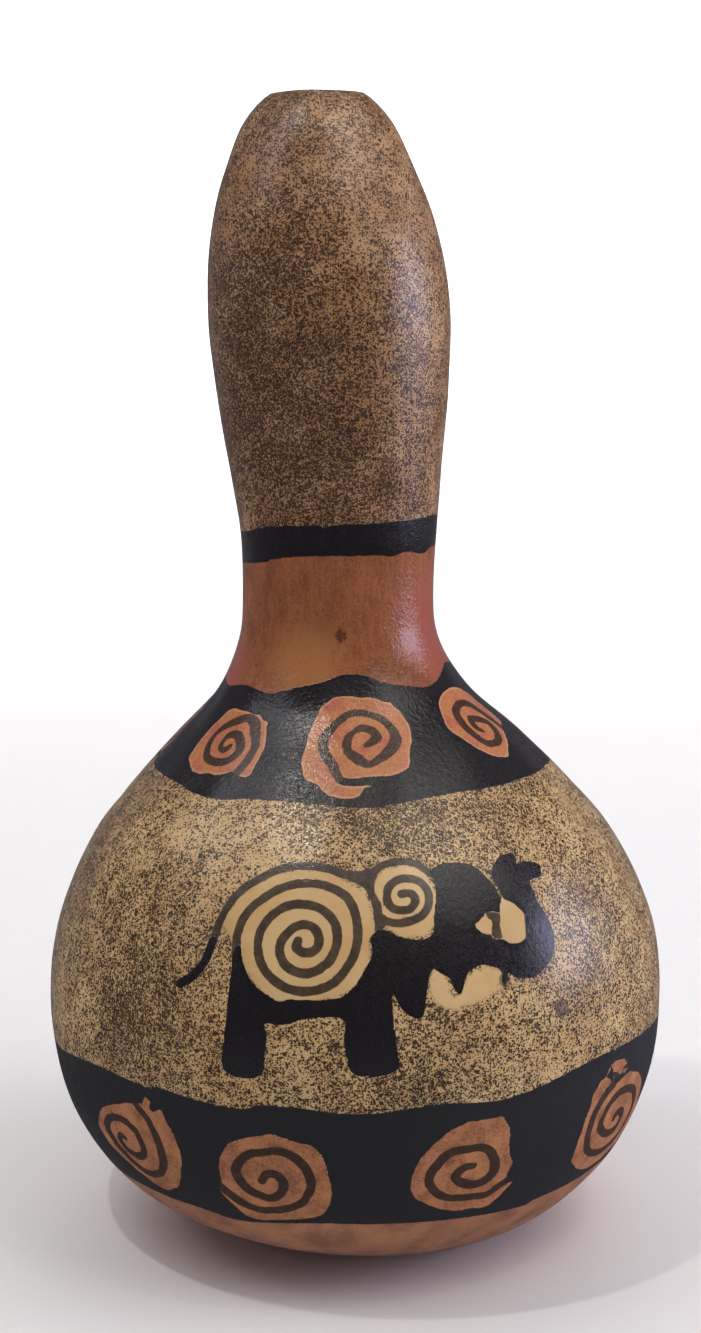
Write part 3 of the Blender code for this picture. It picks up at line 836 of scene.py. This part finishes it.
def groundColour(look, height):
    patch = look.noise(40 * mm, 3)
    warm = look.noise(16 * mm, 4, 0.6)
    belly = look.blend(warm.step(0.3, 0.8), paint["bellyLight"], paint["bellyWarm"])
    belly = look.blend(patch.step(0.48, 0.72) * 0.7, belly, paint["bellyDull"])
    bulb = look.blend(warm.step(0.35, 0.65), paint["bulbLight"], paint["bulbWarm"])
    bulb = look.blend(patch.step(0.45, 0.7) * 0.7, bulb, paint["bulbDull"])
    streak = look.noise(1.1 * mm, 4, 0.7, (1, 1, 0.12))
    blotch = look.noise(9 * mm, 4, 0.65, (1, 1, 0.6))
    grain = look.noise(0.8 * mm, 4, 0.7)
    neck = look.blend((streak * 0.45 + grain * 0.55).step(0.42, 0.62) * 0.85, paint["neck"],
                      paint["neckDark"])
    neck = look.blend(blotch.step(0.42, 0.68) * 0.8, neck, paint["neckDark"])
    neck = look.blend((grain * 0.5 + blotch * 0.5).step(0.54, 0.66) * 0.6, neck, paint["neckBrown"])
    point, reach = paint["yellowSide"]
    neck = look.blend((look.near(point, reach) * (0.4 + blotch)).step(0.2, 0.9) * 0.8, neck,
                      paint["neckYellow"])
    for point, reach in paint["redSides"]:
        share = look.near(point, reach) * (0.4 + grain * 0.7 + blotch * 0.4)
        neck = look.blend(share.step(0.1, 0.75) * 0.9, neck, paint["neckRed"])
    base = look.blend(blotch.step(0.35, 0.7), paint["base"], paint["baseDark"])
    base = look.blend(streak.step(0.5, 0.8) * 0.5, base, paint["baseDark"])
    whole = look.blend(above(height, "lowerMiddle"), base, belly)
    whole = look.blend(above(height, "shoulderMiddle"), whole, neck)
    return look.blend(above(height, "ringMiddle"), whole, bulb)


def flicked(look, drops, thick):
    # drops of paint: each cell may hold one, with its own radius as a part of the cell
    size, thinShare, thickShare, radius = drops
    share = thinShare + thick * thickShare
    reach = look.node("ShaderNodeTexVoronoi", {}, {"Vector": look.place, "Scale": 1 / size}, "Distance")
    chance = look.node("ShaderNodeSeparateColor", {}, {"Color": reach.beside("Color")}, "Red")
    edge = radius * (0.65 + chance.beside("Green") * 0.6)
    wobble = (look.noise(size * 0.5, 1) - 0.5) * 0.5
    inside = 1 - (reach + wobble).step(edge - 0.08, edge + 0.08)
    return inside * (1 - chance.step(share, share + 0.03))


def speckles(look, height, clear):
    # flicked paint: fine and coarse drops, thick in some places and thin in others
    cloud = look.noise(8 * mm, 4, 0.7)
    drift = look.noise(44 * mm, 2, 0.5)
    thick = cloud.step(0.32, 0.68) * 0.6 + drift.step(0.34, 0.66) * 0.4
    for point, reach, amount in paint["dropPatches"]:
        thick = thick + look.near(point, reach) * amount
    fine, middling, coarse = (flicked(look, drops, thick) for drops in paint["drops"])
    spots = fine.larger(middling).larger(coarse)
    dust = look.noise(0.5 * mm, 2, 0.6).step(0.4, 0.6) * (0.05 + thick * 0.3)
    upper = above(height, "ringMiddle")
    belly = above(height, "lowerMiddle") * (1 - above(height, "shoulderMiddle"))
    belly = belly * (1 - clear.step(-0.6, 0.8))
    return spots * upper, spots * belly, dust * (upper + belly)


def paintedRind():
    look = Finish("painted_rind")
    height = look.node("ShaderNodeSeparateXYZ", {}, {"Vector": look.place}, "Z") / mm
    ragged = (look.noise(2.6 * mm, 3, 0.6) - 0.5) * 0.9
    clear = look.layer("clear") + (look.noise(5 * mm, 2) - 0.5) * 3.0
    black = (look.layer("blackPaint") + ragged).step(-0.12, 0.12)
    brown = (look.layer("brownPaint") + ragged * 0.8).step(-0.14, 0.14)
    fieldDepth = look.layer("field") + ragged
    field = fieldDepth.step(-0.12, 0.12)
    figureZone = height.step(67, 68) * (1 - height.step(137, 138))

    surface = groundColour(look, height)
    bulbSpots, bellySpots, dust = speckles(look, height, clear)
    surface = look.blend(dust, surface, paint["dust"])
    surface = look.blend(bulbSpots * 0.9, surface, paint["bulbSpeck"])
    surface = look.blend(bellySpots * 0.94, surface, paint["speck"])

    tint = look.noise(7 * mm, 3, 0.6)
    grain = look.noise(0.7 * mm, 4, 0.7)
    fieldColour = look.blend(tint.step(0.42, 0.72), paint["field"], paint["fieldPink"])
    fieldColour = look.blend(grain.step(0.46, 0.72) * 0.75, fieldColour, paint["fieldGrain"])
    rim = (1 - fieldDepth.step(0.1, 0.9)) * 0.6
    fieldColour = look.blend(rim, fieldColour, paint["fieldRim"])
    lowerColour = look.blend((tint * 0.5 + grain * 0.5).step(0.4, 0.64), paint["lowerField"],
                             paint["lowerFieldDark"])
    low = 1 - height.step(*paint["lowerTones"])
    fieldColour = look.blend(low, fieldColour, lowerColour)
    surface = look.blend(field, surface, fieldColour)

    worn = look.noise(3.2 * mm, 5, 0.7)
    coilColour = look.blend(worn.step(0.45, 0.75), paint["coilBrown"], paint["coilWorn"])
    figureColour = look.blend(worn.step(0.4, 0.65), paint["figureDark"], paint["figureBrown"])
    lineColour = look.blend(figureZone, coilColour, figureColour)
    surface = look.blend(brown * 0.96, surface, lineColour)

    brushed = look.noise(1.6 * mm, 5, 0.7, (1, 1, 0.18))
    blackColour = look.blend(brushed.step(0.5, 0.8) * 0.6, paint["black"], paint["blackWorn"])
    # painted reflection: near the trunk the black is blended toward a pale lavender, as if it mirrored
    # the window
    point, reach = paint["trunk"]
    paintedReflection = look.near(point, reach).step(0.05, 0.8) * (0.45 + brushed * 0.7)
    blackColour = look.blend(paintedReflection, blackColour, paint["trunkPaintedReflection"])
    # painted reflection: below the lower tones the black is lighter and bluer
    blackColour = look.blend(low, blackColour, paint["lowerBlackPaintedReflection"])
    surface = look.blend(black, surface, blackColour)

    for point, reach in paint["smudges"]:
        smudge = (look.near(point, reach) + (worn - 0.5) * 0.5).step(0.35, 0.6)
        surface = look.blend(smudge * 0.6, surface, paint["blackWorn"])
    scar = (look.near(*paint["neckScar"]) + (grain - 0.5) * 2.6).step(0.4, 0.6)
    surface = look.blend(scar * 0.8, surface, paint["scar"])

    feed(look.tree, look.shader.inputs["Base Color"], surface)
    spots = bulbSpots + bellySpots
    patches = look.noise(6 * mm, 4, 0.65)
    matt = 1 - height.step(*varnish["mattHeights"])
    roughness = (varnish["roughness"] + patches * varnish["patchyRoughness"]
                 + matt * varnish["mattRoughness"] + spots * varnish["spotRoughness"])
    feed(look.tree, look.shader.inputs["Roughness"], roughness)
    brushMarks = look.noise(1.1 * mm, 3, 0.6, (1, 1, 0.4)) * (0.3 + black * 0.6)
    upper = height.step(*varnish["creasedHeights"])
    leather = look.noise(2.2 * mm, 3, 0.6) * (0.5 + upper * 0.9)
    creases = abs(look.noise(1.5 * mm, 2, 0.5, None, 0.6) - 0.5) * (0.6 + upper * 1.3)
    raised = (black + brown * 0.6) * 0.2 + spots * 0.15
    bump = look.node("ShaderNodeBump", {},
                     {"Strength": varnish["bumpStrength"], "Distance": varnish["bumpDepth"],
                      "Height": brushMarks + leather + creases + raised}, "Normal")
    feed(look.tree, look.shader.inputs["Normal"], bump)
    look.shader.inputs["Specular IOR Level"].default_value = varnish["specular"]
    return look.material


# Stage

stage = {
    "floorWidth": 10.0,
    "floorDepth": 8.0,
    "wallPlace": 2.6,
    "wallHeight": 4.0,
    "wallCurve": 1.4,
    "floor": colour(246, 245, 244),
    "floorPatches": colour(226, 225, 226),
    "room": (0.85, 0.83, 0.95, 1.0),
    "roomStrength": 0.19,
    "lamps": (                  # name, azimuth, elevation, distance, width, height, watts, colour, aim
        ("ceilingLeft", -54, 67, 1.6, 0.05, 0.05, 3.8, (1.0, 0.96, 0.9), (0, 0, 0.15)),
        ("softLeft", -84, 52, 1.8, 0.9, 1.1, 6.5, (0.96, 0.95, 1.0), (0, 0, 0.1)),
        ("ceilingRight", 62, 54, 1.6, 1.0, 1.0, 6, (1.0, 0.96, 0.9), (0, 0, 0.15)),
        ("spotRight", 48, 60, 1.6, 0.05, 0.05, 0.7, (1.0, 0.97, 0.93), (0, 0, 0.15)),
        ("ceiling", 30, 80, 2.2, 2.8, 2.8, 12, (1.0, 0.97, 0.93), (0, 0, 0.1)),
        ("window", 90, 11, 1.4, 0.85, 0.6, 9.5, (0.76, 0.77, 1.0), (0, 0, 0.15)),
        ("wallLight", 0, 52, 1.5, 2.4, 0.4, 40, (1.0, 0.99, 0.98), (0, 2.6, 0.4)),
    ),
    "cameraPlace": (-0.00694, -0.6456, 0.2838),
    "cameraDown": 9.93,         # degrees below level
    "focalPixels": 2150,        # in the picture's own 701 x 1333 frame
    "pictureHeight": 1333,
}


def makeFloor():
    # a floor that curves up into a plain wall far behind the gourd
    width, depth = stage["floorWidth"], stage["floorDepth"]
    mesh = bmesh.new()
    bmesh.ops.create_grid(mesh, x_segments=1, y_segments=1, size=0.5)
    bmesh.ops.scale(mesh, vec=(width, depth, 1), verts=mesh.verts)
    bmesh.ops.translate(mesh, vec=(0, stage["wallPlace"] - depth / 2, 0), verts=mesh.verts)
    back = [edge for edge in mesh.edges
            if all(end.co.y > stage["wallPlace"] - mm for end in edge.verts)]
    raised = bmesh.ops.extrude_edge_only(mesh, edges=back)["geom"]
    top = [part for part in raised if isinstance(part, bmesh.types.BMVert)]
    bmesh.ops.translate(mesh, vec=(0, 0, stage["wallHeight"]), verts=top)
    bmesh.ops.bevel(mesh, geom=back, offset=stage["wallCurve"], offset_type="OFFSET", segments=24,
                    profile=0.5, affect="EDGES", material=-1)
    data = bpy.data.meshes.new("floor")
    mesh.to_mesh(data)
    mesh.free()
    data.shade_smooth()
    floor = bpy.data.objects.new("floor", data)
    bpy.context.scene.collection.objects.link(floor)
    look = Finish("pale_floor")
    shade = look.blend(look.noise(0.4, 2) * 0.12, stage["floor"], stage["floorPatches"])
    feed(look.tree, look.shader.inputs["Base Color"], shade)
    look.shader.inputs["Roughness"].default_value = 0.7
    data.materials.append(look.material)
    floor.visible_glossy = False        # the varnish mirrors the lamps and the dim room only


def makeLamps():
    for name, azimuth, elevation, distance, width, height, watts, tint, aim in stage["lamps"]:
        lamp = bpy.data.lights.new(name, "AREA")
        lamp.shape = "RECTANGLE"
        lamp.size, lamp.size_y = width, height
        lamp.energy = watts
        lamp.color = tint
        a, e = math.radians(azimuth), math.radians(elevation)
        toLamp = Vector((math.sin(a) * math.cos(e), -math.cos(a) * math.cos(e), math.sin(e)))
        holder = bpy.data.objects.new(name, lamp)
        holder.location = Vector(aim) + toLamp * distance
        holder.rotation_euler = toLamp.to_track_quat("Z", "Y").to_euler()
        bpy.context.scene.collection.objects.link(holder)
    world = bpy.data.worlds.new("room")
    world.use_nodes = True
    background = world.node_tree.nodes["Background"]
    background.inputs["Color"].default_value = stage["room"]
    background.inputs["Strength"].default_value = stage["roomStrength"]
    bpy.context.scene.world = world


def makeCamera():
    lens = bpy.data.cameras.new("camera")
    lens.sensor_width = 36
    lens.lens = stage["focalPixels"] * lens.sensor_width / stage["pictureHeight"]
    camera = bpy.data.objects.new("camera", lens)
    camera.location = stage["cameraPlace"]
    camera.rotation_euler = (math.radians(90 - stage["cameraDown"]), 0, 0)
    bpy.context.scene.collection.objects.link(camera)
    bpy.context.scene.camera = camera


makeCamera()
makeFloor()
makeLamps()
bpy.context.scene.view_settings.view_transform = "Standard"
print("stage set")

gourd = makeSkin()
gourd.data.materials.append(paintedRind())
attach(gourd, "root")
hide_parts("gourd")
print("gourd finished")
